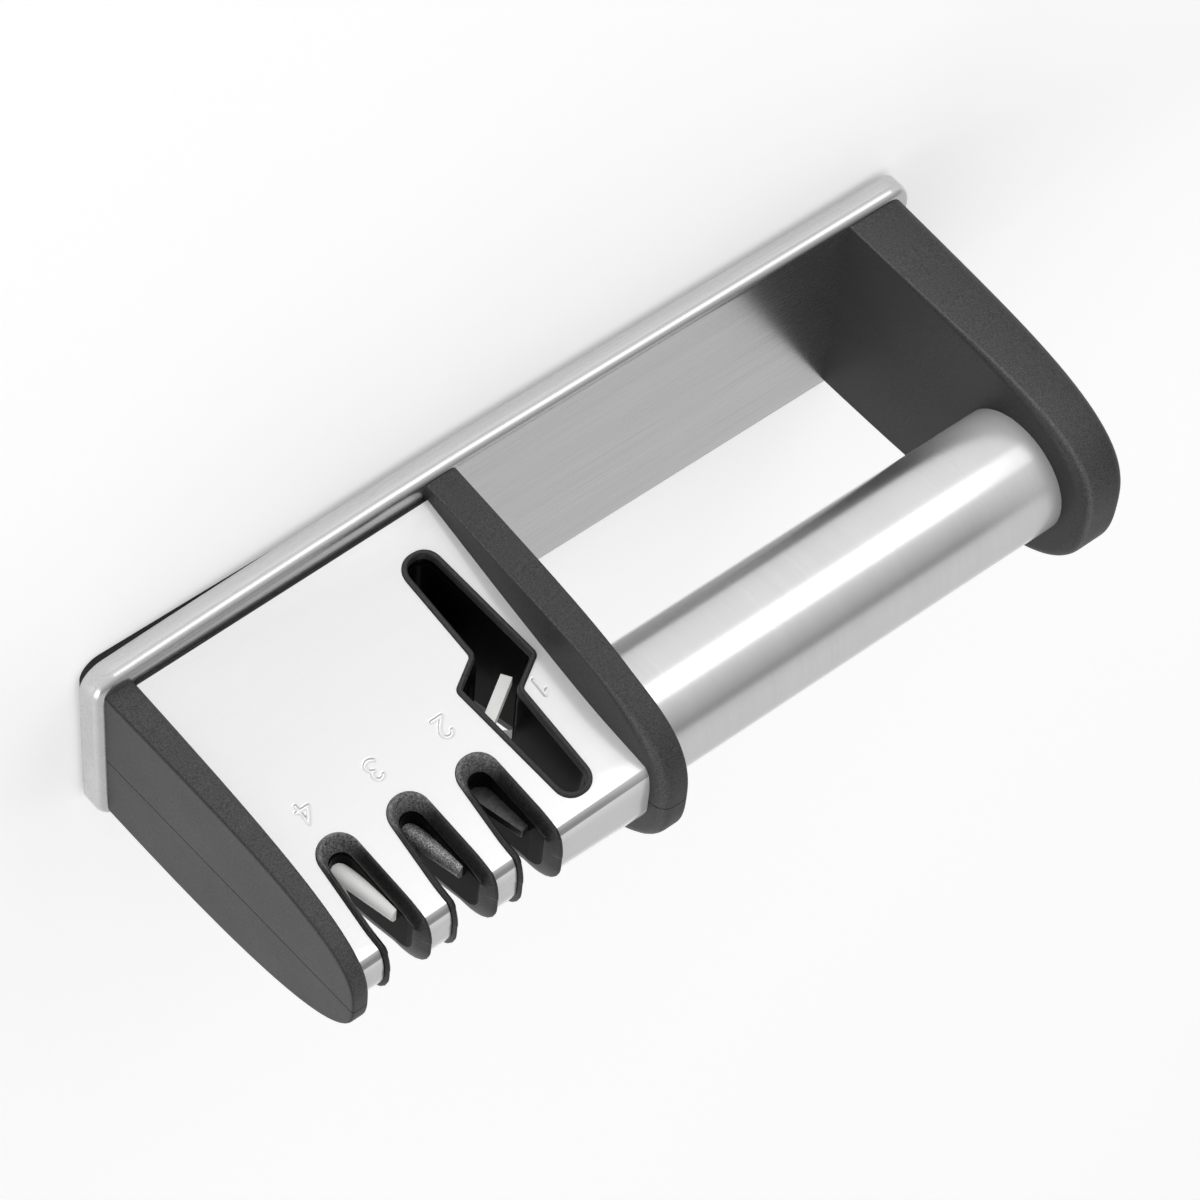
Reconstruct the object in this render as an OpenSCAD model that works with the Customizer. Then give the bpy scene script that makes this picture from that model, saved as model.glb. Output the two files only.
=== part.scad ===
// Four-stage pull-through sharpener on a sheet-steel base with a round bar handle.
// Millimetres, +Z up. The origin is on the table plane, under the middle of the base.
// -X is the handle end, +X the sharpening end, -Y the front with the stage digits.

/* [Base] */
// Length of the sheet-steel base tray
tray_l = 219; // [214:0.1:224]
// Width of the tray along the handle
tray_w = 57; // [54:0.5:60]
// Width of the tray at the sharpening end
tray_w_end = 48.4; // [46:0.2:50]
// Height of the top of the tray above the table
base_h = 7.5; // [6.5:0.1:9]
// Gap between the rim of the tray and the table
rim_gap = 1.5; // [1:0.1:2]
// Thickness of the sheet steel
sheet_t = 0.8; // [0.6:0.1:1]
// Outer radius of the tray's folded edge
bend_r = 2.5; // [1.5:0.1:3]
// Plan radius of the tray's corners
corner_r = 6; // [4:0.5:8]
// Thickness of the rubber mat
mat_t = 2; // [1.8:0.1:2.5]

/* [Handle] */
// Outer diameter of the handle tube
tube_d = 30; // [26:0.5:32]
// Wall of the handle tube
tube_wall = 0.9; // [0.7:0.1:1.5]
// Height of the handle's axis above the tray
handle_h = 57; // [54:0.5:60]
// Height of the handle bracket above the tray
bracket_h = 78.3; // [76:0.1:82]
// Thickness of the handle bracket at its foot
bracket_t = 15.1; // [12:0.1:16]

/* [Sharpening module] */
// Height of the wall that carries the handle, above the tray
wall_h = 79.3; // [77:0.1:82]
// Height of the end wall above the tray
end_wall_h = 77.5; // [76:0.1:80]
// Height of the steel cover's narrow top face above the tray
cover_h = 75; // [74:0.1:76]
// Half depth of the steel cover at its foot, at mid length
cover_foot = 21.5; // [20.5:0.1:22.5]
// Half depth of the steel cover where the top bend starts
cover_top = 8.6; // [8:0.1:9.5]
// Radius of the cover's top bend in front
bend_front = 2.8; // [2.4:0.1:4]
// Radius of the cover's top bend at the back
bend_back = 8.3; // [2.8:0.1:8.6]
// How far the black lips stand proud of the steel in front
lip_proud = 1.2; // [0.8:0.1:1.6]
// How far the black lips stand proud of the narrow top face
lip_top = 1.2; // [0.8:0.1:2.3]
// Thickness of the plastic shells
shell_t = 2.2; // [2:0.1:2.6]

/* [Stages] */
// Middle of the carbide slot along the base
slot2_x = 55.1; // [54.5:0.05:55.4]
// Distance between the knife slots
slot_pitch = 16.9; // [16.5:0.05:17.1]
// Half width of a knife slot's lip at its round end
slot_r = 4.7; // [4.4:0.1:4.9]
// Diameter of the sharpening rods
rod_d = 4; // [3.5:0.1:4.2]
// Lean of each rod from upright
rod_lean = 13; // [11:0.5:14]
// Middle of the scissors slot along the base
scissors_x = 38.35; // [38:0.05:38.7]

/* [Hidden] */
$fn = 64;

z0 = base_h;                     // top of the tray
hx = tray_l / 2;
bx_out = -hx + 3.7;              // outer foot of the bracket
bx_in = bx_out + bracket_t;      // inner foot of the bracket
wx0 = 18.2;                      // handle side of the handle wall
wx1 = 26.3;                      // cover side of the handle wall
ex1 = hx - 2.05;                 // outer foot of the end wall
ex0 = ex1 - 7.25;                // inner foot of the end wall
lean_end = 0.041;                // inward lean of the end wall's outer face, mm per mm
lean_in = 0.034;                 // lean of the bracket's inner face, mm per mm
mid_x = (wx1 + ex0) / 2;         // where the module has its nominal depth
taper = 2.06;                    // plan taper of the cover's faces, degrees
// height of the centre of a knife slot's round end above the tray, a little lower towards the end wall
function slot_z(x) = 54 - 0.062 * (x - slot2_x - slot_pitch);
cross_z = 50;                    // height above the tray where the rods of a pair cross
rod_y = 2.7;                     // distance of each rod from the rods' mid plane
rods_mid = -0.8;                 // the rods' mid plane, towards the front
slots = [slot2_x, slot2_x + slot_pitch, slot2_x + 2 * slot_pitch];
rib_x = [-80, -53, -26, 1, 39, 66];   // middles of the open bays under the base frame
bracket_screw_y = [-14, 14];
module_screw_pos = [[wx0 + 4.2, -16], [wx0 + 4.2, 16], [ex1 - 5, -13], [ex1 - 5, 13]];
boss_pos = [[56.4, 20], [90.4, 20], [73.4, 35]];   // x and height above the tray of the shell screws

black = [0.12, 0.12, 0.125];
steel = [0.78, 0.78, 0.79];
satin = [0.93, 0.93, 0.94];

// ---- outlines ------------------------------------------------------------

// centres of the tray outline's rounded corners, front side from -X to +X
function corner_line() = [
    [-hx + corner_r, -(tray_w / 2 - corner_r)],
    [11, -(tray_w / 2 - corner_r)],
    [46, -(tray_w * 0.74 + tray_w_end * 0.26) / 2 + corner_r],
    [76, -(tray_w * 0.42 + tray_w_end * 0.58) / 2 + corner_r],
    [hx - corner_r, -(tray_w_end / 2 - corner_r)]];
function all_corners() = let (f = corner_line(), n = len(f))
    concat(f, [for (i = [n - 1 : -1 : 0]) [f[i][0], -f[i][1]]]);
function dir(a, b) = atan2(b[1] - a[1], b[0] - a[0]) - 90;
function fix(a, ref) = a < ref ? fix(a + 360, ref) : a;
// outline of the tray, moved inwards by ins
function tray_outline(ins, st = 6) = let (c = all_corners(), n = len(c))
    [for (i = [0 : n - 1])
        let (a0 = dir(c[(i + n - 1) % n], c[i]), a1 = fix(dir(c[i], c[(i + 1) % n]), a0),
             k = max(1, ceil((a1 - a0) / (90 / st))))
        for (j = [0 : k]) let (a = a0 + (a1 - a0) * j / k)
            c[i] + (corner_r - ins) * [cos(a), sin(a)]];

// half width of an arch-shaped wall at height z: foot a, height b
function arch_w(z, a, k, b, m, n) = (a - k * z) * pow(max(0, 1 - pow(z / b, m)), 1 / n);
function arch_pts(a, k, b, m, n, st = 26) = concat(
    [for (i = [0 : st]) let (u = i / st, z = b * (1 - pow(1 - u, 2.2))) [arch_w(z, a, k, b, m, n), z]],
    [for (i = [st - 1 : -1 : 0]) let (u = i / st, z = b * (1 - pow(1 - u, 2.2))) [-arch_w(z, a, k, b, m, n), z]]);
module big_arch(h) { polygon(arch_pts(26.8, 0.018, h, 4.4, 2.8)); }
// the end wall is a little fuller behind than in front
module end_arch() {
    polygon([for (p = arch_pts(20.6, 0.01, end_wall_h, 3.6, 2.8))
        p[0] > 0 ? [p[0] + 1.3 * (1 - pow(2 * p[1] / end_wall_h - 1, 2)), p[1]] : p]);
}

// extrude a (y, z) outline along X, heights counted from the tray's top
module along_x(x0, x1) {
    translate([x0, 0, z0]) rotate([90, 0, 90]) linear_extrude(x1 - x0) children();
}
// extrude an (x, z) outline along Y
module along_y(y0, y1) {
    translate([0, y1, z0]) rotate([90, 0, 0]) linear_extrude(y1 - y0) children();
}

// front limit of the module's section: everything behind the front face and
// below the top face, moved outwards by d in front and dt on top
function front_pts(d, dt, zb, rad) = let (slope = (cover_foot - cover_top) / (cover_h - 2.5),
        a = atan(slope), h = cover_h + dt,
        r = max(0.4, rad + min(d, dt)), yt = -cover_top - d / cos(a),
        // line of the face: y = yt - slope * (cover_h - 2.5 - z)
        cz = h - r, cy = yt - slope * (cover_h - 2.5 - cz) + r / cos(a))
    concat([[60, zb], [yt - slope * (cover_h - 2.5 - zb), zb]],
        [for (i = [0 : 8]) let (t = 180 - a - (90 - a) * i / 8) [cy + r * cos(t), cz + r * sin(t)]],
        [[60, h]]);
module front_limit(d, dt, zb, rad) { polygon(front_pts(d, dt, zb, rad)); }
// body of the module between x0 and x1, moved outwards by d
module body(x0, x1, d, dt, zb) {
    intersection() {
        translate([mid_x, 0, 0]) rotate([0, 0, taper])
            along_x(x0 - mid_x - 5, x1 - mid_x + 5) front_limit(d, dt, zb, bend_front);
        translate([mid_x, 0, 0]) rotate([0, 0, -taper])
            along_x(x0 - mid_x - 5, x1 - mid_x + 5) mirror([1, 0]) front_limit(d, dt, zb, bend_back);
        translate([x0, -60, 0]) cube([x1 - x0, 120, 120]);
    }
}
// a slab in X whose right side leans inwards with height
module lean_slab(x0, x1, l0, l1) {
    along_y(-60, 60) polygon([[x0, -1], [x1, -1], [x1 + l1 * 95, 95], [x0 + l0 * 95, 95]]);
}

// knife slot outline: round end towards the tray, open towards the top
module knife_slot(x, g, top = 95) {
    w = slot_r + g + 0.06 * 15;
    translate([x, slot_z(x)]) circle(slot_r + g);
    polygon([[x - slot_r - g, slot_z(x)], [x + slot_r + g, slot_z(x)],
        [x + w, slot_z(x) + 15], [x + w, top], [x - w, top], [x - w, slot_z(x) + 15]]);
}
// inner channel of a knife slot, narrower and with its round end higher up
module knife_channel(x) {
    r = slot_r - 1.95; z = slot_z(x) + 1.1;
    translate([x, z]) circle(r);
    polygon([[x - r, z], [x + r, z], [x + r + 0.055 * (95 - z), 95], [x - r - 0.055 * (95 - z), 95]]);
}
// half outline of the scissors slot: one leg with a round end, one cranked shoulder
module scissors_leg(g) {
    translate([-1.8, -26.3]) circle(4.4 + g);
    polygon([[-6.2 - g, -26.3], [2.6 + g, -26.3], [2.4 + g, -5.3 - g * 0.5],
        [9.4 + g, -0.4 - g * 0.6], [8.6, 4], [-4, 4], [-9.5 - g, 0.2 + g * 0.6]]);
}
module scissors_slot(g) {
    translate([scissors_x, 39.5]) union() {
        scissors_leg(g);
        rotate(180) scissors_leg(g);
    }
}
module all_slots(g) {
    for (x = slots) knife_slot(x, g);
    scissors_slot(g);
}

// ---- base ----------------------------------------------------------------

// closed solid of the tray's outer shape, shrunk by ins all over
module tray_solid(ins, zb) {
    r = bend_r - ins;
    hull() {
        translate([0, 0, zb]) linear_extrude(z0 - bend_r - zb) polygon(tray_outline(ins));
        for (i = [1 : 3]) let (t = 90 * i / 4)
            translate([0, 0, z0 - bend_r + r * sin(t)])
                linear_extrude(0.01) polygon(tray_outline(bend_r - r * cos(t)));
        translate([0, 0, z0 - ins - 0.01]) linear_extrude(0.01) polygon(tray_outline(bend_r));
    }
}
module screw_holes(d, za, zb) {
    for (y = bracket_screw_y) translate([bx_out + bracket_t / 2, y, za]) cylinder(d = d, h = zb - za);
    for (p = module_screw_pos) translate([p[0], p[1], za]) cylinder(d = d, h = zb - za);
}
module base_tray() {
    color(steel) difference() {
        tray_solid(0, rim_gap);
        tray_solid(sheet_t, rim_gap - 1);
        screw_holes(3.4, z0 - 2, z0 + 1);
    }
}
module base_frame() {
    zt = z0 - sheet_t;
    color([0.2, 0.2, 0.2]) difference() {
        translate([0, 0, mat_t]) linear_extrude(zt - mat_t) polygon(tray_outline(2.7));
        // open ribs below the deck
        for (x = rib_x) translate([x, 0, mat_t - 1]) {
            translate([-12.3, -19, 0]) cube([24.6, 17.5, zt - mat_t - 1.6 + 1]);
            translate([-12.3, 1.5, 0]) cube([24.6, 17.5, zt - mat_t - 1.6 + 1]);
        }
        screw_holes(3.4, mat_t - 1, zt + 1);
        screw_holes(6.6, mat_t - 1, mat_t + 2.2);
    }
}
module rubber_mat() {
    w = tray_w_end / 2 - 0.3; l = hx - 1.2; r = 5;
    color([0.08, 0.08, 0.08]) linear_extrude(mat_t) union() {
        square([2 * l, 2 * w - 2 * r], center = true);
        square([2 * l - 2 * r, 2 * w], center = true);
        for (x = [-l + r, l - r]) for (y = [-w + r, w - r]) translate([x, y]) circle(r);
    }
}
// countersunk-free pan screw pointing up, head at z = 0
module screw_up(len) {
    cylinder(d = 5.8, h = 2);
    translate([0, 0, 2]) cylinder(d = 2.9, h = len);
}
module bracket_screws() {
    color(steel) for (y = bracket_screw_y) translate([bx_out + bracket_t / 2, y, mat_t + 0.2]) screw_up(16);
}
module module_screws() {
    color(steel) for (p = module_screw_pos) translate([p[0], p[1], mat_t + 0.2]) screw_up(13);
}

// ---- handle --------------------------------------------------------------

bx_face = bx_in - lean_in * handle_h;   // bracket's inner face at the handle's axis
module handle_bracket() {
    color(black) difference() {
        intersection() {
            along_x(bx_out - 1, bx_in + 1) big_arch(bracket_h);
            lean_slab(bx_out, bx_in, 0.022, -lean_in);
        }
        // screw bores in the foot
        for (y = bracket_screw_y) translate([bx_out + bracket_t / 2, y, z0 - 1]) cylinder(d = 2.9, h = 13.5);
        // socket for the plug and its screw, from the handle side
        translate([bx_face - 2.2, 0, z0 + handle_h]) rotate([0, 90, 0]) cylinder(d = tube_d + 0.2, h = 10);
        translate([bx_face - 9, 0, z0 + handle_h]) rotate([0, 90, 0]) cylinder(d = 2.9, h = 10);
    }
}
tube_x0 = bx_face - 2.1;
tube_x1 = wx0 + 3.1;
module handle_tube() {
    color(steel) translate([tube_x0, 0, z0 + handle_h]) rotate([0, 90, 0]) difference() {
        cylinder(d = tube_d, h = tube_x1 - tube_x0);
        translate([0, 0, -1]) cylinder(d = tube_d - 2 * tube_wall, h = tube_x1 - tube_x0 + 2);
    }
}
// flanged plug that fills the end of the tube
module plug(len) {
    difference() {
        cylinder(d = tube_d - 2 * tube_wall - 0.1, h = len);
        translate([0, 0, 3]) cylinder(d = tube_d - 2 * tube_wall - 5, h = len);
        translate([0, 0, -1]) cylinder(d = 3.2, h = len + 2);
    }
}
module bracket_plug() {
    color([0.25, 0.25, 0.25]) translate([tube_x0, 0, z0 + handle_h]) rotate([0, 90, 0]) plug(16);
}
module module_plug() {
    color([0.25, 0.25, 0.25]) translate([tube_x1, 0, z0 + handle_h]) rotate([0, -90, 0]) plug(16);
}
module plug_screws() {
    color(steel) {
        translate([tube_x0 + 3, 0, z0 + handle_h]) rotate([0, -90, 0]) { cylinder(d = 2.9, h = 8.6); translate([0, 0, -2]) cylinder(d = 5.8, h = 2); }
        translate([tube_x1 - 3, 0, z0 + handle_h]) rotate([0, 90, 0]) { cylinder(d = 2.9, h = 7.4); translate([0, 0, -2]) cylinder(d = 5.8, h = 2); }
    }
}

// ---- module --------------------------------------------------------------

core_d = -(sheet_t + 0.05);      // shells lie just under the steel cover
cav_d = core_d - shell_t;        // inner face of the shells

module module_solid() {
    // handle wall
    intersection() {
        along_x(wx0 - 1, wx1 + 1) big_arch(wall_h);
        lean_slab(wx0, wx1, 0.02, 0);
    }
    // end wall
    intersection() {
        along_x(ex0 - 1, ex1 + 1) end_arch();
        lean_slab(ex0, ex1, 0, -lean_end);
    }
    // core under the cover, hollow
    difference() {
        body(wx1 - 0.5, ex0 + 0.5, core_d, core_d, 0.3);
        body(wx1 + 2, ex0 - 2.2, cav_d, cav_d, 2.6);
    }
    // lips of the slots, proud of the steel
    intersection() {
        difference() {
            body(wx1 - 0.2, ex0, lip_proud, lip_top, 0.3);
            body(wx1 + 2, ex0 - 2.2, cav_d, cav_d, 2.6);
        }
        along_y(-60, 60) all_slots(0);
    }
    // bosses of the shell screws
    for (p = boss_pos) translate([p[0], 0, z0 + p[1]]) rotate([90, 0, 0])
        cylinder(d = 7.5, h = 2 * boss_half(p[1]), center = true);
}
// how far a boss reaches into the shell's wall at a height above the tray
function boss_half(z) = cover_top + (cover_h - 2.5 - z) * (cover_foot - cover_top) / (cover_h - 2.5) - 2;
// inner throat of the slots, cut right through
module throats() {
    for (x = slots) along_y(-60, 60) knife_channel(x);
    along_y(-60, 60) scissors_slot(-1.1);
}
module shell_common() {
    difference() {
        module_solid();
        throats();
        // socket for the handle's plug, and its screw
        translate([wx0 - 6, 0, z0 + handle_h]) rotate([0, 90, 0]) cylinder(d = tube_d + 0.2, h = 9.2);
        translate([wx0, 0, z0 + handle_h]) rotate([0, 90, 0]) cylinder(d = 2.9, h = 8);
        // screws from below
        for (p = module_screw_pos) translate([p[0], p[1], z0 - 1]) cylinder(d = 2.9, h = 10.5);
    }
}
module front_shell() {
    color(black) difference() {
        intersection() {
            shell_common();
            translate([0, -60.02, 0]) cube([240, 120, 240], center = true);
        }
        for (p = boss_pos) translate([p[0], 0, z0 + p[1]]) rotate([90, 0, 0])
            translate([0, 0, -1]) cylinder(d = 2.6, h = 9);
    }
}
module back_shell() {
    color(black) difference() {
        intersection() {
            shell_common();
            translate([0, 60.02, 0]) cube([240, 120, 240], center = true);
        }
        for (p = boss_pos) translate([p[0], 0, z0 + p[1]]) rotate([-90, 0, 0]) {
            translate([0, 0, -1]) cylinder(d = 3.1, h = 40);
            translate([0, 0, 7]) cylinder(d = 5.6, h = 40);
        }
    }
}
module shell_screws() {
    color(steel) for (p = boss_pos) translate([p[0], 7, z0 + p[1]]) rotate([90, 0, 0]) {
        translate([0, 0, -2]) cylinder(d = 5.2, h = 2);
        cylinder(d = 2.6, h = 14.5);
    }
}
module steel_cover() {
    color(satin) difference() {
        intersection() {
            body(wx1 + 0.3, ex0 - 0.3, 0, 0, 1.4);
            lean_slab(wx1 + 0.3, ex0 - 0.3, 0, 0);
        }
        body(wx1 - 2, ex0 + 2, -sheet_t, -sheet_t, -1);
        along_y(-60, 60) all_slots(0.15);
    }
}

// ---- stages --------------------------------------------------------------

// block that holds the pair of rods of one knife slot, between the shells
module holder_block(x, left = 7.7) {
    intersection() {
        body(x - left, x + 7.7, cav_d - 0.15, cav_d - 0.15, 40);
        translate([x - 20, -30, z0 + 42]) cube([40, 60, cover_h + cav_d - 42.3]);
    }
}
// axis frame of one rod: s = -1 is the front one, leaning towards -X
module on_rod(x, s) {
    translate([x, rods_mid + s * rod_y, z0 + cross_z]) rotate([0, s * rod_lean, 0]) children();
}
rod_lo = -6; rod_hi = 17.4;
module rod(x, s, g = 0) {
    on_rod(x, s) translate([0, 0, rod_lo]) cylinder(d = rod_d + g, h = rod_hi - rod_lo);
}
module blade(x, s, g = 0) {
    on_rod(x, s) translate([-2.6 - g, -1.1 - g, rod_lo]) cube([5.2 + 2 * g, 2.2 + 2 * g, rod_hi - rod_lo]);
}
module rod_holder(x) {
    difference() {
        holder_block(x);
        along_y(-60, 60) knife_channel(x);
        rod(x, -1, 0.04);
        rod(x, 1, 0.04);
    }
}
module carbide_holder() {
    color(black) difference() {
        holder_block(slots[0], 5.6);
        along_y(-60, 60) knife_channel(slots[0]);
        blade(slots[0], -1, 0.02);
        blade(slots[0], 1, 0.02);
    }
}
module carbide_blade_front() { color([0.62, 0.62, 0.64]) blade(slots[0], -1); }
module carbide_blade_back() { color([0.62, 0.62, 0.64]) blade(slots[0], 1); }
module diamond_holder() { color(black) rod_holder(slots[1]); }
module diamond_rod_front() { color([0.5, 0.5, 0.51]) rod(slots[1], -1); }
module diamond_rod_back() { color([0.5, 0.5, 0.51]) rod(slots[1], 1); }
module ceramic_holder() { color(black) rod_holder(slots[2]); }
module ceramic_rod_front() { color([0.95, 0.95, 0.93]) rod(slots[2], -1); }
module ceramic_rod_back() { color([0.95, 0.95, 0.93]) rod(slots[2], 1); }

// scissors stage: a sleeve with two square bars that cross in the crank of the slot
sc_y = 7.5;
sc_bar = 2.6;
module scissors_rod(s, g = 0) {
    len = s < 0 ? 15.3 : 13.4;
    translate([scissors_x, s * sc_y, z0 + 40.7]) rotate([0, s * 33, 0])
        translate([-5.2 - g, -sc_bar / 2 - g, -sc_bar / 2 - g])
            cube([len + 2 * g, sc_bar + 2 * g, sc_bar + 2 * g]);
}
module scissors_holder() {
    color(black) difference() {
        intersection() {
            body(wx1 + 1, slots[0] - 5, cav_d - 0.15, cav_d - 0.15, 4);
            along_y(-30, 30) scissors_slot(1.2);
        }
        along_y(-60, 60) scissors_slot(-1.1);
        scissors_rod(-1, 0.02);
        scissors_rod(1, 0.02);
    }
}
module scissors_rod_front() { color([0.95, 0.95, 0.93]) scissors_rod(-1); }
module scissors_rod_back() { color([0.95, 0.95, 0.93]) scissors_rod(1); }

rubber_mat();
base_frame();
base_tray();
bracket_screws();
module_screws();
handle_bracket();
handle_tube();
bracket_plug();
module_plug();
plug_screws();
front_shell();
back_shell();
shell_screws();
steel_cover();
scissors_holder();
scissors_rod_front();
scissors_rod_back();
carbide_holder();
carbide_blade_front();
carbide_blade_back();
diamond_holder();
diamond_rod_front();
diamond_rod_back();
ceramic_holder();
ceramic_rod_front();
ceramic_rod_back();
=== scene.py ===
import math

import bmesh
import bpy
import numpy as np
from mathutils import Matrix, Vector
from mathutils.geometry import delaunay_2d_cdt


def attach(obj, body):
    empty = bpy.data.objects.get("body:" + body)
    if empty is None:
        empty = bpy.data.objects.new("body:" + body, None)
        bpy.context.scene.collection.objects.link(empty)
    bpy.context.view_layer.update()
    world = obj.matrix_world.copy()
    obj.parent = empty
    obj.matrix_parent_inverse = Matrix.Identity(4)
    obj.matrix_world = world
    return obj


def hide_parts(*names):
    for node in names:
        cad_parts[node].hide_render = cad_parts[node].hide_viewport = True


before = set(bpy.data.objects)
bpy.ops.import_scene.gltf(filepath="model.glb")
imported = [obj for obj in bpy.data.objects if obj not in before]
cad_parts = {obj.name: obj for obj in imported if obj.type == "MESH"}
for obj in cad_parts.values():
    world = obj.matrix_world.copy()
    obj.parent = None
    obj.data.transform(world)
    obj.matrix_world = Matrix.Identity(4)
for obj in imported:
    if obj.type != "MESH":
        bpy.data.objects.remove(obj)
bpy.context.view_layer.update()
scene = bpy.context.scene

MM = 0.001
Z0 = 7.5                       # top of the tray above the table, mm
TX0, TX1 = -110.5, 108.5       # ends of the tray, in the lengths used below
DX = -(TX0 + TX1) / 2          # brings the middle of the tray to x = 0


def pt(x, y, z):
    """A point given in mm, with z counted from the top of the tray."""
    return ((x + DX) * MM, y * MM, (z + Z0) * MM)


SLOPE = 12.9 / 72.5            # lean of the module's faces, mm per mm


def smooth(t):
    t = min(1.0, max(0.0, t))
    return t * t * (3 - 2 * t)


# ---------------------------------------------------------------- camera

cam_data = bpy.data.cameras.new("camera")
cam_data.sensor_fit = "HORIZONTAL"
cam_data.sensor_width = 36.0
cam_data.lens = 140.5
cam_data.clip_start = 0.05
cam_data.clip_end = 50
cam = bpy.data.objects.new("camera", cam_data)
scene.collection.objects.link(cam)
right = Vector((-0.76930716, -0.06474082, 0.63559037))
down = Vector((0.48751947, 0.583482, 0.64951791))
ahead = Vector((-0.41290586, 0.80954146, -0.41731448))
turn = Matrix((right, -down, -ahead)).transposed().to_4x4()
cam.matrix_world = Matrix.Translation(Vector(pt(406.78, -795.33, 440.21))) @ turn
scene.camera = cam


# ---------------------------------------------------------------- materials

def new_mat(name):
    m = bpy.data.materials.new(name)
    m.use_nodes = True
    nt = m.node_tree
    nt.nodes.clear()
    out = nt.nodes.new("ShaderNodeOutputMaterial")
    b = nt.nodes.new("ShaderNodeBsdfPrincipled")
    nt.links.new(b.outputs[0], out.inputs[0])
    return m, nt, b


def add(nt, kind, **values):
    n = nt.nodes.new(kind)
    for k, v in values.items():
        if k in n.inputs:
            n.inputs[k].default_value = v
        else:
            setattr(n, k, v)
    return n


def coords(nt, scale):
    tc = nt.nodes.new("ShaderNodeTexCoord")
    mp = nt.nodes.new("ShaderNodeMapping")
    mp.inputs["Scale"].default_value = scale
    nt.links.new(tc.outputs["Object"], mp.inputs["Vector"])
    return mp.outputs[0]


def noise(nt, vec, scale=1.0, detail=3.0, rough=0.55):
    n = nt.nodes.new("ShaderNodeTexNoise")
    n.inputs["Scale"].default_value = scale
    n.inputs["Detail"].default_value = detail
    n.inputs["Roughness"].default_value = rough
    nt.links.new(vec, n.inputs["Vector"])
    return n.outputs["Fac"]


def remap(nt, fac, lo, hi, a=0.3, b=0.7, kind="LINEAR"):
    n = nt.nodes.new("ShaderNodeMapRange")
    n.interpolation_type = kind
    n.inputs["From Min"].default_value = a
    n.inputs["From Max"].default_value = b
    n.inputs["To Min"].default_value = lo
    n.inputs["To Max"].default_value = hi
    nt.links.new(fac, n.inputs["Value"])
    return n.outputs[0]


def ramp(nt, fac, stops):
    n = nt.nodes.new("ShaderNodeValToRGB")
    e = n.color_ramp.elements
    while len(e) < len(stops):
        e.new(0.5)
    for el, (p, c) in zip(e, stops):
        el.position = p
        el.color = (c, c, c, 1) if isinstance(c, (int, float)) else (*c, 1)
    nt.links.new(fac, n.inputs["Fac"])
    return n.outputs["Color"]


def bump(nt, b, height, strength, distance, normal=None):
    n = nt.nodes.new("ShaderNodeBump")
    n.inputs["Strength"].default_value = strength
    n.inputs["Distance"].default_value = distance
    nt.links.new(height, n.inputs["Height"])
    if normal is not None:
        nt.links.new(normal, n.inputs["Normal"])
    nt.links.new(n.outputs[0], b.inputs["Normal"])
    return n.outputs[0]


def painted_light_scale(nt, col):
    """Colour times one plus the mesh's edge attribute, which carries painted light and shade."""
    edge = nt.nodes.new("ShaderNodeAttribute")
    edge.attribute_type = "GEOMETRY"
    edge.attribute_name = "edge"
    more = add(nt, "ShaderNodeMath", operation="ADD")
    nt.links.new(edge.outputs["Fac"], more.inputs[0])
    more.inputs[1].default_value = 1.0
    vm = add(nt, "ShaderNodeVectorMath", operation="SCALE")
    nt.links.new(col, vm.inputs[0])
    nt.links.new(more.outputs[0], vm.inputs["Scale"])
    return vm.outputs[0]


def steel(name, scale, fine, tone=(0.62, 0.78), rough=(0.24, 0.34), aniso=0.6, strength=0.12, metal=1.0, satin=None):
    """Brushed sheet: streaks are long along the small numbers of scale."""
    m, nt, b = new_mat(name)
    streak = noise(nt, coords(nt, scale), 1.0, 5.0, 0.62)
    hair = noise(nt, coords(nt, fine), 1.0, 3.0, 0.6)
    broad = noise(nt, coords(nt, tuple(s * 0.06 for s in scale)), 1.0, 2.0, 0.5)
    mix = add(nt, "ShaderNodeMix", data_type="FLOAT")
    mix.inputs[0].default_value = 0.45
    nt.links.new(streak, mix.inputs[2])
    nt.links.new(hair, mix.inputs[3])
    mix2 = add(nt, "ShaderNodeMix", data_type="FLOAT")
    mix2.inputs[0].default_value = 0.25
    nt.links.new(mix.outputs[0], mix2.inputs[2])
    nt.links.new(broad, mix2.inputs[3])
    lo, hi = tone
    col = ramp(nt, mix2.outputs[0], [(0.3, lo), (0.7, hi)])
    nt.links.new(painted_light_scale(nt, col), b.inputs["Base Color"])
    nt.links.new(remap(nt, mix.outputs[0], rough[1], rough[0]), b.inputs["Roughness"])
    b.inputs["Metallic"].default_value = metal
    if satin:
        # satin towards one end: from x0 (metres) with metallic m0 to full brightness of the mirror at x1
        x0, x1, m0 = satin
        px = nt.nodes.new("ShaderNodeSeparateXYZ")
        nt.links.new(coords(nt, (1, 1, 1)), px.inputs[0])
        nt.links.new(remap(nt, px.outputs["X"], m0, metal, x0, x1, "SMOOTHSTEP"), b.inputs["Metallic"])
    if aniso:
        b.inputs["Anisotropic"].default_value = aniso
        tg = nt.nodes.new("ShaderNodeTangent")
        tg.direction_type = "UV_MAP"
        tg.uv_map = "brush"
        nt.links.new(tg.outputs[0], b.inputs["Tangent"])
    bump(nt, b, mix.outputs[0], strength, 0.00005)
    return m


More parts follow.
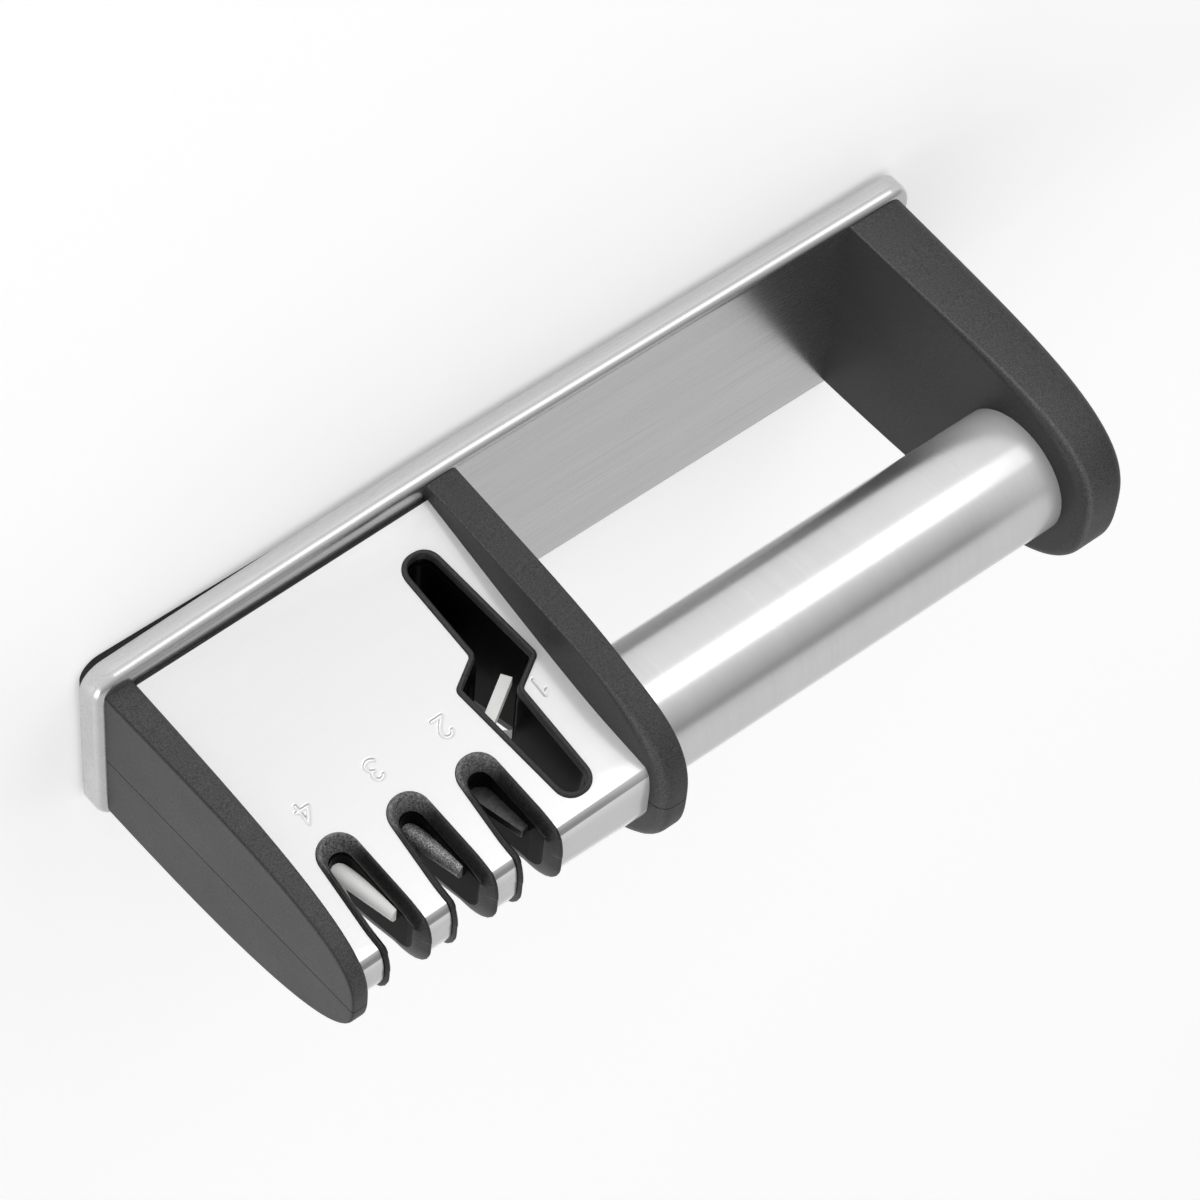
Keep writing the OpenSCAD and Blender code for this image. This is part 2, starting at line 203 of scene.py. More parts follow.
def moulded(name, tone, rough, grain=3300.0, strength=0.35, specular=0.5, distance=0.00006):
    """Moulded plastic with a fine spark-eroded grain."""
    m, nt, b = new_mat(name)
    vec = coords(nt, (1, 1, 1))
    fine = noise(nt, vec, grain, 3.0, 0.6)
    cloud = noise(nt, vec, 60.0, 3.0, 0.5)
    col = ramp(nt, fine, [(0.36, tone[0]), (0.66, tone[1])])
    # painted light and shade: the edge attribute paints the moulding's faces, fillets and bands lighter or darker, with
    # painted highlight lines along some fillets
    edge = nt.nodes.new("ShaderNodeAttribute")
    edge.attribute_type = "GEOMETRY"
    edge.attribute_name = "edge"
    more = add(nt, "ShaderNodeMath", operation="ADD")
    nt.links.new(edge.outputs["Fac"], more.inputs[0])
    more.inputs[1].default_value = 1.0
    vm = nt.nodes.new("ShaderNodeVectorMath")
    vm.operation = "SCALE"
    nt.links.new(col, vm.inputs[0])
    nt.links.new(more.outputs[0], vm.inputs["Scale"])
    nt.links.new(vm.outputs[0], b.inputs["Base Color"])
    rr = add(nt, "ShaderNodeMath", operation="MULTIPLY_ADD")
    nt.links.new(cloud, rr.inputs[0])
    rr.inputs[1].default_value = 0.12
    rr.inputs[2].default_value = rough - 0.06
    nt.links.new(rr.outputs[0], b.inputs["Roughness"])
    b.inputs["Specular IOR Level"].default_value = specular
    bump(nt, b, fine, strength, distance)
    return m


M = {}
M["tray"] = steel("tray_brushed", (22, 2400, 2400), (60, 7000, 7000), tone=(0.53, 0.67), rough=(0.22, 0.3), aniso=0.5, strength=0.05)
M["tube"] = steel("tube_brushed", (2600, 26, 26), (7000, 70, 70), tone=(0.68, 0.76), rough=(0.235, 0.275), aniso=0.6, strength=0.03, metal=0.92, satin=(-0.0926, -0.062, 0.3))
M["cover"] = steel("cover_satin", (30, 1800, 1800), (90, 6500, 6500), tone=(0.81, 0.85), rough=(0.17, 0.19), aniso=0.1, strength=0.008, metal=0.72, satin=(0.024, 0.042, 0.12))
M["black"] = moulded("black_moulded", (0.022, 0.053), 0.5, grain=3000.0, strength=0.5, specular=0.3, distance=0.00007)
M["dish"] = moulded("black_coarse", (0.004, 0.026), 0.42, grain=2400.0, strength=0.8, distance=0.0001, specular=0.4)
# black plastic inside the slots, painted much darker than the outer moulding as painted shade deep in the slots; it has
# almost no sheen
M["gloss"] = moulded("black_slot_painted_shade", (0.003, 0.005), 0.25, grain=900.0, strength=0.03, specular=0.02)
M["dark"] = moulded("inner_plastic", (0.02, 0.035), 0.55)
M["rubber"] = moulded("mat_rubber", (0.012, 0.022), 0.8, grain=1500.0, strength=0.5, specular=0.25)
M["screw"] = steel("screw_zinc", (900, 900, 900), (3000, 3000, 3000), tone=(0.5, 0.66), rough=(0.3, 0.42), aniso=0.0, strength=0.08)


def ceramic_mat():
    m, nt, b = new_mat("ceramic_fired")
    vec = coords(nt, (1, 1, 1))
    col = ramp(nt, noise(nt, vec, 500.0, 4.0, 0.6), [(0.3, (0.88, 0.88, 0.86)), (0.75, (0.95, 0.95, 0.93))])
    nt.links.new(col, b.inputs["Base Color"])
    nt.links.new(remap(nt, noise(nt, vec, 3000.0, 2.0), 0.32, 0.5), b.inputs["Roughness"])
    # painted light: the rods glow faintly, which brightens them in the shaded slots
    b.inputs["Emission Color"].default_value = (1, 1, 0.98, 1)
    b.inputs["Emission Strength"].default_value = 0.14
    bump(nt, b, noise(nt, vec, 5200.0, 2.0), 0.2, 0.00003)
    return m


def diamond_mat():
    m, nt, b = new_mat("diamond_grit")
    vec = coords(nt, (1, 1, 1))
    v = nt.nodes.new("ShaderNodeTexVoronoi")
    v.inputs["Scale"].default_value = 3600.0
    nt.links.new(vec, v.inputs["Vector"])
    col = ramp(nt, noise(nt, vec, 3800.0, 2.0, 0.7), [(0.36, 0.13), (0.5, 0.34), (0.66, 0.86)])
    nt.links.new(col, b.inputs["Base Color"])
    b.inputs["Metallic"].default_value = 0.55
    nt.links.new(remap(nt, v.outputs["Distance"], 0.22, 0.6, 0.0, 0.8), b.inputs["Roughness"])
    bump(nt, b, v.outputs["Distance"], 0.9, 0.00012)
    return m


def carbide_mat():
    m, nt, b = new_mat("carbide_ground")
    lines = noise(nt, coords(nt, (5200, 300, 700)), 1.0, 3.0, 0.6)
    vec = coords(nt, (1, 1, 1))
    col = ramp(nt, noise(nt, vec, 900.0, 4.0, 0.6), [(0.3, 0.10), (0.75, 0.2)])
    nt.links.new(col, b.inputs["Base Color"])
    b.inputs["Metallic"].default_value = 0.85
    nt.links.new(remap(nt, lines, 0.28, 0.46), b.inputs["Roughness"])
    bump(nt, b, lines, 0.25, 0.00004)
    return m


M["ceramic"] = ceramic_mat()
M["diamond"] = diamond_mat()
M["carbide"] = carbide_mat()


# ---------------------------------------------------------------- mesh helpers

def set_edge(me, edge):
    if edge:
        me.attributes.new("edge", "FLOAT", "POINT").data.foreach_set("value", edge)


def make(name, verts, faces, mat, replaces=(), sharp=35.0, closed=True, edge=None):
    me = bpy.data.meshes.new(name)
    me.from_pydata([tuple(v) for v in verts], [], [tuple(f) for f in faces])
    set_edge(me, edge)
    bm = bmesh.new()
    bm.from_mesh(me)
    bmesh.ops.remove_doubles(bm, verts=bm.verts, dist=1e-7)
    if closed:
        bmesh.ops.recalc_face_normals(bm, faces=bm.faces)
    bm.to_mesh(me)
    bm.free()
    me.update()
    return finish_piece(name, me, mat, replaces, sharp)


def finish_piece(name, me, mat, replaces=(), sharp=35.0, flat=False):
    ob = bpy.data.objects.new(name, me)
    scene.collection.objects.link(ob)
    me.polygons.foreach_set("use_smooth", [True] * len(me.polygons))
    me.set_sharp_from_angle(angle=math.radians(sharp))
    me.materials.append(mat)
    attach(ob, "root")
    if replaces:
        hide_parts(*replaces)
    if flat:
        wn = ob.modifiers.new("normals", "WEIGHTED_NORMAL")
        wn.weight = 100
        wn.keep_sharp = True
    return ob


def loft(rings, closed=True, cap0=False, cap1=False):
    verts, faces = [], []
    n = len(rings[0])
    for r in rings:
        verts += r
    for k in range(len(rings) - 1):
        a, b = k * n, (k + 1) * n
        for i in range(n if closed else n - 1):
            j = (i + 1) % n
            faces.append((a + i, a + j, b + j, b + i))
    if cap0:
        faces.append(tuple(range(n - 1, -1, -1)))
    if cap1:
        faces.append(tuple((len(rings) - 1) * n + i for i in range(n)))
    return verts, faces


def brush_uv(me, fn):
    uv = me.uv_layers.new(name="brush")
    for loop in me.loops:
        co = me.vertices[loop.vertex_index].co
        uv.data[loop.index].uv = fn(co)


# ---------------------------------------------------------------- tray

def tray_half(x):
    return 28.5 - 4.3 * max(0.0, (x - 11.0) / 91.5) ** 1.37


def tray_outline(n_arc=12, n_side=64, r=6.0):
    pts, nor = [], []

    def arc(cx, cy, a0, a1):
        for i in range(n_arc + 1):
            a = math.radians(a0 + (a1 - a0) * i / n_arc)
            pts.append((cx + r * math.cos(a), cy + r * math.sin(a)))
            nor.append((math.cos(a), math.sin(a)))

    x0, x1 = TX0 + r, TX1 - r
    w1 = tray_half(x1)
    s1 = (tray_half(x1 + 0.01) - tray_half(x1 - 0.01)) / 0.02
    end = math.degrees(math.atan2(-1, -s1))
    arc(x0, -28.5 + r, 180, 270)
    for i in range(1, n_side):
        x = x0 + (x1 - x0) * i / n_side
        s = (tray_half(x + 0.01) - tray_half(x - 0.01)) / 0.02
        q = math.hypot(s, 1)
        pts.append((x, -tray_half(x)))
        nor.append((-s / q, -1 / q))
    arc(x1, -w1 + r, end, 0)
    arc(x1, w1 - r, 0, -end)
    for i in range(n_side - 1, 0, -1):
        x = x0 + (x1 - x0) * i / n_side
        s = (tray_half(x + 0.01) - tray_half(x - 0.01)) / 0.02
        q = math.hypot(s, 1)
        pts.append((x, tray_half(x)))
        nor.append((-s / q, 1 / q))
    arc(x0, 28.5 - r, 90, 180)
    return pts, nor


def build_tray():
    pts, nor = tray_outline()
    R = 2.4
    prof = [(3.6, -0.8), (2.4, -0.8), (1.5, -1.15), (0.95, -1.8), (0.8, -2.6), (0.8, -5.85), (0.7, -5.97), (0.5, -6.0),
            (0.3, -6.0), (0.1, -5.93), (0.0, -5.78), (0.0, -5.2), (0.0, -2.62), (0.045, -2.5), (0.04, -2.36)]
    for i in range(1, 9):
        a = math.radians(i * 90 / 8)
        prof.append((0.02 + (R - 0.02) * (1 - math.cos(a)), -2.36 + 2.36 * math.sin(a)))
    prof += [(R + 0.3, 0.0), (R + 1.5, 0.0)]
    rings = [[pt(p[0] - n[0] * ins, p[1] - n[1] * ins, z) for p, n in zip(pts, nor)] for ins, z in prof]
    v, f = loft(rings, True, True, True)
    ob = make("tray_sheet", v, f, M["tray"], ["base_tray"], sharp=50)
    brush_uv(ob.data, lambda c: (c.y * 8 + c.z * 6, c.x * 8 + c.z * 2))
    return ob


build_tray()


# ---------------------------------------------------------------- arch-shaped walls

def arch(a, k, b, m, n, st=56):
    def w(z):
        return (a - k * z) * max(0.0, 1 - (z / b) ** m) ** (1 / n)

    zs = [b * (1 - (1 - i / st) ** 2.2) for i in range(st + 1)]
    pts = [(w(z), z) for z in zs] + [(-w(z), z) for z in zs[-2::-1]]
    nor = []
    for i, p in enumerate(pts):
        q, r = pts[max(0, i - 1)], pts[min(len(pts) - 1, i + 1)]
        d = (r[0] - q[0], r[1] - q[1])
        L = math.hypot(*d)
        nor.append((d[1] / L, -d[0] / L))
    return pts, nor


def arch_slab(outline, rings):
    """rings: list of (inset(z), x(z), edge) from one face to the other; edge is painted light and shade that lightens
    or darkens the ring.
    """
    pts, nor = outline
    out, edge = [], []
    last = len(pts) - 1
    for inset, xf, lit in rings:
        edge += [lit] * len(pts)
        ring = []
        for i, (p, n) in enumerate(zip(pts, nor)):
            d = inset(p[1])
            y, z = p[0] - n[0] * d, p[1] - n[1] * d
            if i in (0, last):
                z = 0.0
            ring.append(pt(xf(z), y, z))
        out.append(ring)
    return (*loft(out, True, True, True), edge)


def edge_rings(x_face, r, sign, face_first, seg=6, lit=0.0, flat=0.0, band=0.0, peak=45):
    """Fillet of radius r(z) between the face x_face(z) and the band; sign is +1 where the solid lies at larger X.

    flat, lit and band are painted light and shade: they lighten or darken the face, the fillet and the band. lit is a
    painted highlight on the fillet, peaking at angle peak; below zero it paints a dark line instead.
    """
    out = [(lambda z: r(z) + 0.35, lambda z: x_face(z), flat)]
    for i in range(seg + 1):
        a = math.radians(90 * i / seg)
        out.append((lambda z, a=a: r(z) * (1 - math.sin(a)),
                    lambda z, a=a: x_face(z) + sign * r(z) * (1 - math.cos(a)), flat + (band - flat) * math.sin(a) + lit * math.exp(-((math.degrees(a) - peak) / 14) ** 2)))
    return out if face_first else out[::-1]


def build_bracket():
    o = arch(26.8, 0.018, 78.3, 4.4, 2.8)
    xin = lambda z: -91.6 - 0.0002 * z * z
    rin = lambda z: 0.6 + 0.0004 * z * z
    xout = lambda z: -106.8 + 0.022 * z
    # painted light and shade: the inner face painted darker (flat -0.42), a painted highlight on its fillet near the
    # band (lit 1.5, peaking at 74 degrees), and the band round the arch painted lighter (0.15)
    rings = edge_rings(xin, rin, -1, True, 10, 1.5, -0.42, 0.15, 74) + edge_rings(xout, lambda z: 2.8, 1, False, 8, 0, 0, 0.15)
    v, f, e = arch_slab(o, rings)
    return make("bracket_moulding", v, f, M["black"], ["handle_bracket"], sharp=40, edge=e)


def split_y(name, v, f, e, yp, mat, nodes, gap=0.26, soft=0.14, sharp=40.0):
    """Two halves of a closed solid, parted at y = yp with softened edges."""
    obs = []
    for side, node in ((-1, nodes[0]), (1, nodes[1])):
        me = bpy.data.meshes.new(name)
        me.from_pydata([tuple(x) for x in v], [], [tuple(x) for x in f])
        set_edge(me, e)
        bm = bmesh.new()
        bm.from_mesh(me)
        bmesh.ops.remove_doubles(bm, verts=bm.verts, dist=1e-7)
        bmesh.ops.recalc_face_normals(bm, faces=bm.faces)
        cut = bmesh.ops.bisect_plane(bm, geom=bm.verts[:] + bm.edges[:] + bm.faces[:], dist=1e-7,
                                     plane_co=(0, (yp + side * gap / 2) * MM, 0), plane_no=(0, 1, 0),
                                     clear_inner=side > 0, clear_outer=side < 0)
        edges = [e for e in cut["geom_cut"] if isinstance(e, bmesh.types.BMEdge)]
        edges = [e for e in edges if e.is_valid and e.is_boundary]
        bmesh.ops.holes_fill(bm, edges=edges, sides=0)
        edges = [e for e in edges if e.is_valid and len(e.link_faces) == 2]
        bmesh.ops.bevel(bm, geom=edges, offset=soft * MM, segments=2, profile=0.5, affect="EDGES", clamp_overlap=True)
        bmesh.ops.recalc_face_normals(bm, faces=bm.faces)
        bm.to_mesh(me)
        bm.free()
        obs.append(finish_piece(name + ("_front" if side < 0 else "_back"), me, mat, [node], sharp, True))
    return obs


def build_walls():
    shells = ("front_shell", "back_shell")
    # wall that carries the handle
    o = arch(26.8, 0.018, 79.3, 4.4, 2.8)
    xa = lambda z: 17.0 + 0.0275 * z - 0.9 * smooth((z - 58) / 18)
    xb = lambda z: 24.9 + 0.45 * smooth(z / 32)
    rb = lambda z: 0.8 + 2.6 * smooth((z - 52) / 22)
    # painted light and shade: the band round the arch painted lighter (0.25), a painted highlight on the ridge fillet
    # towards the cover side (lit 0.7), and that side painted darker (-0.15)
    rings = edge_rings(xa, lambda z: 0.8, 1, True, 4, 0, 0, 0.25) + edge_rings(xb, rb, -1, False, 7, 0.7, -0.15, 0.25)
    # the side slopes towards the cover, and meets it at xc; it is painted darker towards the cover, as painted shade
    xc = lambda z: 25.2 + 0.028 * z
    full = lambda z: 26.8 - 0.018 * z - 8.6 - SLOPE * (72.5 - z)
    for t in (0.2, 0.45, 0.72, 1.0):
        rings.append((lambda z, t=t: rb(z) + 0.4 + t * (full(z) - rb(z)),
                      lambda z, t=t: xb(z) + (xc(z) - xb(z)) * (0.25 * t + 0.75 * t * t), -0.15 - 0.15 * t))
    v, f, e = arch_slab(o, rings)
    split_y("handle_wall", v, f, e, 0.0, M["black"], shells)
    # end wall
    o = arch(20.6, 0.01, 77.5, 3.6, 2.8)
    o = ([(y + (1.3 * (1 - (2 * z / 77.5 - 1) ** 2) if y > 0 else 0), z) for y, z in o[0]], o[1])
    xa = lambda z: 99.2
    xb = lambda z: 106.45 - 0.041 * z
    # painted light and shade: the band round the arch painted half again lighter (0.5), a painted dark line on the
    # fillet of the outer end face (lit -1.0), and that face painted a little lighter (0.1)
    rings = edge_rings(xa, lambda z: 0.8, 1, True, 4, 0, 0, 0.5) + edge_rings(xb, lambda z: 0.8, -1, False, 6, -1.0, 0.1, 0.5)
    v, f, e = arch_slab(o, rings)
    split_y("end_wall", v, f, e, 1.7, M["black"], shells)


build_bracket()
build_walls()


# ---------------------------------------------------------------- handle tube

def build_tube():
    x0, x1, r = -95.6, 20.2, 15.0
    prof = [(x0, r - 0.9), (x0, r - 0.35), (x0 + 0.1, r - 0.1), (x0 + 0.35, r)]
    prof += [(x0 + 0.35 + (x1 - x0 - 0.7) * i / 24, r) for i in range(1, 25)]
    prof += [(x1 - 0.1, r - 0.1), (x1, r - 0.35), (x1, r - 0.9), (x1 - 20, r - 0.9), (x0 + 20, r - 0.9), (x0, r - 0.9)]
    n = 160
    rings = [[pt(x, q * math.cos(2 * math.pi * i / n), 57 + q * math.sin(2 * math.pi * i / n)) for i in range(n)]
             for x, q in prof]
    v, f = loft(rings, True)
    ob = make("tube_brushed", v, f, M["tube"], ["handle_tube"], sharp=40)

    def around(c):
        return (c.x * 8, math.atan2(c.z - (57 + Z0) * MM, c.y) * 0.2)
    brush_uv(ob.data, around)
    return ob


build_tube()


# ---------------------------------------------------------------- folded sheet of the module

TILT = math.atan(SLOPE)
RB = 2.8
ZB = 75 - RB                                   # centre of the top bend in front
TOPY = -8.6 - SLOPE * (72.5 - ZB) + RB / math.cos(TILT)
V1 = ZB + RB * math.sin(TILT)                  # front face ends, bend starts
V2 = V1 + RB * (math.pi / 2 - TILT)            # bend ends, narrow face starts
RB_B = 8.3                                     # the bend at the back is much larger
ZB_B = 75 - RB_B
TOPY_B = -8.6 - SLOPE * (72.5 - ZB_B) + RB_B / math.cos(TILT)
Z1_B = ZB_B + RB_B * math.sin(TILT)
VM = V2 + 3.4                                  # middle of the narrow face
BEND_T = [0.0, 0.08, 0.16, 0.33, 0.5, 0.67, 0.84, 0.92, 1.0]
BEND_V = [V1 + (V2 - V1) * t for t in BEND_T]
Z1_F = 72.9                                    # height where the front face ends
Z2_F = 74.3                                    # and where the narrow face starts


def fold(t):
    """Angle, and y and z from the start, along the folded edge in front, for t from 0 to 1."""
    y = z = 0.0
    a = TILT
    for t0, t1, end, length in ((0.0, 0.16, 46.0, 0.29), (0.16, 0.84, 60.0, 1.75), (0.84, 1.0, 74.0, 0.2)):
        k = max(0.0, min(1.0, (t - t0) / (t1 - t0)))
        b = a + (math.radians(end) - a) * k
        m = (a + b) / 2
        y += length * k * math.sin(m)
        z += length * k * math.cos(m)
        a = b
        if k < 1:
            break
    return a, y, z


YM = -2.3


def bent(x, v, d, creased):
    """Point (mm) of the folded cover at x and at v along its section, d proud of it, with its folded edge or a round bend."""
    side, rb, zb, topy, z1, low = 1.0, RB, ZB, TOPY, Z1_F, 70.5
    if not creased:
        z1, low = V1, 60.0
    if v > VM:
        v, side, rb, zb, topy, z1, low = 2 * VM - v, -1.0, RB_B, ZB_B, TOPY_B, Z1_B, 60.0
    y1 = -8.6 - SLOPE * (72.5 - Z1_F)
    if side > 0 and creased:
        topy = y1 + fold(1.0)[1]
    e = 0.036 * (x - 62.25)
    if v <= V1:
        z = v if v < low else low + (v - low) * (z1 - low) / (V1 - low)
        n = Vector((0.036, -1.0, SLOPE)).normalized()
        y = -8.6 - SLOPE * (72.5 - z) + e
    elif v < V2:
        a = TILT + (v - V1) / (V2 - V1) * (math.pi / 2 - TILT)
        n = Vector((0.036 * math.cos(a), -math.cos(a), math.sin(a))).normalized()
        y, z = topy + e - rb * math.cos(a), zb + rb * math.sin(a)
        if side > 0 and creased:
            a, dy, dz = fold((v - V1) / (V2 - V1))
            n = Vector((0.036 * math.cos(a), -math.cos(a), math.sin(a))).normalized()
            y, z = y1 + e + dy, min(Z2_F, Z1_F + dz)
    else:
        n = Vector((0, 0, 1))
        y, z = YM * side + (topy + e - YM * side) * (VM - v) / (VM - V2), 75.0
        if side > 0 and creased:
            # the narrow face rises slightly from the fold to its middle
            u = (VM - v) / (VM - V2)
            a = math.radians(90 - 16 * u)
            n = Vector((0, -math.cos(a), math.sin(a)))
            z = 75.0 - (75.0 - Z2_F) * u * u
    p = Vector((x, y, z)) + n * d
    return Vector((p.x, p.y * side, p.z))


def sheet(x, v, d=0.0):
    """Point of the folded cover, d proud of it. v below VM is the front side. Deep below it the fold turns round."""
    p = bent(x, v, d, True)
    if d < 0 and v <= VM:
        p = p.lerp(bent(x, v, d, False), min(1.0, -d / 1.2))
    return pt(p.x, p.y, p.z)


SLOTS = [(54.25, 55.1), (70.9, 54.0), (87.9, 53.0)]   # middle, and centre of the round end


def stadium(xc, z_c, r, flare=0.06, g=0.0, n_arc=18, n_side=16, n_top=10):
    """Closed loop round a knife slot, in (x, v): front arc, one leg over the top to the back arc, and back."""
    r = r + g

    def half(v):
        u = v if v <= VM else 2 * VM - v
        return r + flare * (min(u, V1 - 4.0) - z_c)

    vs = [z_c + (V1 - z_c) * i / n_side for i in range(n_side)]
    vs += BEND_V[:-1]
    vs += [V2 + (VM - V2) * i / n_top for i in range(n_top)] + [VM - 0.02]
    vs += [2 * VM - v for v in reversed(vs)]
    loop = [(xc + half(v), v) for v in vs]
    loop += [(xc + r * math.cos(math.radians(a)), 2 * VM - z_c + r * math.sin(math.radians(a)))
             for a in np.linspace(0, 180, n_arc + 1)[1:-1]]
    loop += [(xc - half(v), v) for v in reversed(vs)]
    loop += [(xc + r * math.cos(math.radians(a)), z_c + r * math.sin(math.radians(a)))
             for a in np.linspace(180, 360, n_arc + 1)[1:-1]]
    return loop


def rounded(points, radii, seg=8):
    """Closed polygon with each corner rounded."""
    out = []
    n = len(points)
    for i in range(n):
        a, b, c = (Vector(points[j % n]) for j in (i - 1, i, i + 1))
        u, w = (a - b).normalized(), (c - b).normalized()
        ang = math.acos(max(-1, min(1, u.dot(w))))
        t = radii[i] / math.tan(ang / 2)
        centre = b + (u + w).normalized() * (radii[i] / math.sin(ang / 2))
        p, q = b + u * t, b + w * t
        a0 = math.atan2(*(p - centre).yx)
        a1 = math.atan2(*(q - centre).yx)
        da = (a1 - a0 + math.pi) % (2 * math.pi) - math.pi
        k = max(3, int(seg * abs(da) / math.radians(90)) + 1)
        for j in range(k + 1):
            s = a0 + da * j / k
            out.append((centre.x + radii[i] * math.cos(s), centre.y + radii[i] * math.sin(s)))
    return out


def resample(loop, step):
    """Adds points on the long edges of a closed loop."""
    out = []
    for i, p in enumerate(loop):
        q = loop[(i + 1) % len(loop)]
        L = math.hypot(q[0] - p[0], q[1] - p[1])
        k = max(1, int(L / step))
        out += [(p[0] + (q[0] - p[0]) * j / k, p[1] + (q[1] - p[1]) * j / k) for j in range(k)]
    return out


def inset(loop, d):
    """Loop moved inwards by d, along its own normals (mitred)."""
    n = len(loop)
    area = sum(loop[i][0] * loop[(i + 1) % n][1] - loop[(i + 1) % n][0] * loop[i][1] for i in range(n))
    s = 1 if area > 0 else -1
    out = []
    for i in range(n):
        a, b, c = (Vector(loop[j % n]) for j in (i - 1, i, i + 1))
        u, w = (b - a).normalized(), (c - b).normalized()
        nu, nw = Vector((-u.y, u.x)) * s, Vector((-w.y, w.x)) * s
        m = (nu + nw)
        m = m / max(0.3, m.length_squared / 2)
        out.append((b.x + m.x * d, b.y + m.y * d))
    return out


SC_PTS = [(31.4, 8.8), (40.13, 8.8), (39.65, 33.7), (46.85, 38.1), (43.3, 70.2), (34.95, 70.2), (35.2, 45.3), (27.85, 40.9)]
SC_RAD = [4.25, 4.25, 1.4, 1.6, 4.05, 4.05, 1.4, 1.6]
SC_LOOP = resample(rounded(SC_PTS, SC_RAD), 2.0)


# ---- stamped digits: strokes on the front face, in mm, x to the right and z up

def arc_pts(cx, cy, rx, ry, a0, a1, n=14):
    return [(cx + rx * math.cos(math.radians(a0 + (a1 - a0) * i / n)),
             cy + ry * math.sin(math.radians(a0 + (a1 - a0) * i / n))) for i in range(n + 1)]


DIGITS = [
    ((31.95, 47.0), [[(-0.95, 1.15), (-0.35, 1.35), (0.15, 1.95), (0.15, -2.0)]]),
    ((53.8, 42.9), [arc_pts(0.0, 1.05, 1.25, 1.25, 165, -30) + [(0.45, -0.55), (-1.3, -2.3), (1.35, -2.3)]]),
    ((71.0, 42.35), [arc_pts(-0.05, 1.2, 1.15, 1.1, 150, -75) + arc_pts(-0.05, -1.05, 1.35, 1.25, 80, -150)]),
    ((88.05, 41.95), [[(0.75, -2.3), (0.75, 2.2), (-1.4, -1.0), (1.5, -1.0)]]),
]


def digit_depth(x, z):
    """Depth of the stamping at a point of the front face."""
    best = 9.0
    for (cx, cz), strokes in DIGITS:
        if abs(x - cx) > 3.2 or abs(z - cz) > 4:
            continue
        for s in strokes:
            for a, b in zip(s, s[1:]):
                ax, az, bx, bz = a[0] + cx, a[1] + cz, b[0] + cx, b[1] + cz
                dx, dz = bx - ax, bz - az
                t = max(0.0, min(1.0, ((x - ax) * dx + (z - az) * dz) / max(1e-9, dx * dx + dz * dz)))
                best = min(best, math.hypot(x - ax - dx * t, z - az - dz * t))
    return -0.34 * (1 - smooth((best - 0.12) / 0.42))


def inside(p, loop):
    x, y = p
    hit = False
    j = len(loop) - 1
    for i in range(len(loop)):
        (x1, y1), (x2, y2) = loop[i], loop[j]
        if (y1 > y) != (y2 > y) and x < (x2 - x1) * (y - y1) / (y2 - y1) + x1:
            hit = not hit
        j = i
    return hit


def sheet_painted_light_and_shade(x, v):
    """Painted shade and light on the cover: the folded edge in front is painted darker downwards, the narrow top face
    painted slightly darker, and the sheet painted lighter next to the handle wall, against the wall's shade.
    """
    t = (v - V1) / (V2 - V1)
    if 0.02 < t < 0.97:
        return -0.04 - 0.62 * t ** 1.25
    if V2 <= v <= 2 * VM - V2:
        return -0.15 * smooth((v - V2) / 1.6)
    return 0.14 * (1 - smooth((x - 25.0) / 12.0))


def sheet_mesh(name, left, right, v_lo, holes, offset, digits):
    """Folded sheet with holes: triangulated flat, then bent into place."""
    pts, edges = [], []

    def loop_in(loop):
        k = len(pts)
        pts.extend(Vector(p) for p in loop)
        edges.extend((k + i, k + (i + 1) % len(loop)) for i in range(len(loop)))

    def edge_x(v):
        u = min(v, 2 * VM - v)
        return right(min(u, 75.0))

    vs = list(np.linspace(v_lo, V1, 26)) + BEND_V[1:] + list(np.linspace(V2, VM, 5))[1:]
    vs = vs + [2 * VM - v for v in reversed(vs[:-1])]
    outer = [(left, v) for v in vs] + [(edge_x(v), v) for v in reversed(vs)]
    loop_in(outer)
    for h in holes:
        loop_in(h)
    for v in BEND_V + [VM]:
        for u in {v, 2 * VM - v}:
            k = len(pts)
            pts.extend([Vector((left, u)), Vector((edge_x(u), u))])
            edges.append((k, k + 1))
    if digits:
        for (cx, cz), strokes in DIGITS:
            for gx in np.arange(-2.7, 2.71, 0.15):
                for gz in np.arange(-3.3, 3.31, 0.15):
                    pts.append(Vector((cx + gx, cz + gz)))
    vo, eo, fo, *_ = delaunay_2d_cdt(pts, edges, [], 0, 1e-4)
    verts = []
    for p in vo:
        d = offset
        if digits and p.y < 60:
            d += digit_depth(p.x, p.y)
        verts.append(sheet(p.x, p.y, d))
    faces = []
    for f in fo:
        c = (sum(vo[i].x for i in f) / len(f), sum(vo[i].y for i in f) / len(f))
        if not inside(c, outer) or any(inside(c, h) for h in holes):
            continue
        faces.append(tuple(f))
    me = bpy.data.meshes.new(name)
    me.from_pydata(verts, [], faces)
    # painted light and shade on the cover's outer face only
    set_edge(me, [sheet_painted_light_and_shade(p.x, p.y) if offset == 0 else 0.0 for p in vo])
    bm = bmesh.new()
    bm.from_mesh(me)
    bmesh.ops.delete(bm, geom=[v for v in bm.verts if not v.link_faces], context="VERTS")
    up = sum((f.normal.y * f.calc_area() for f in bm.faces if f.calc_center_median().y < 0), 0.0)
    if up > 0:
        bmesh.ops.reverse_faces(bm, faces=bm.faces)
    bm.to_mesh(me)
    bm.free()
    me.update()
    return me


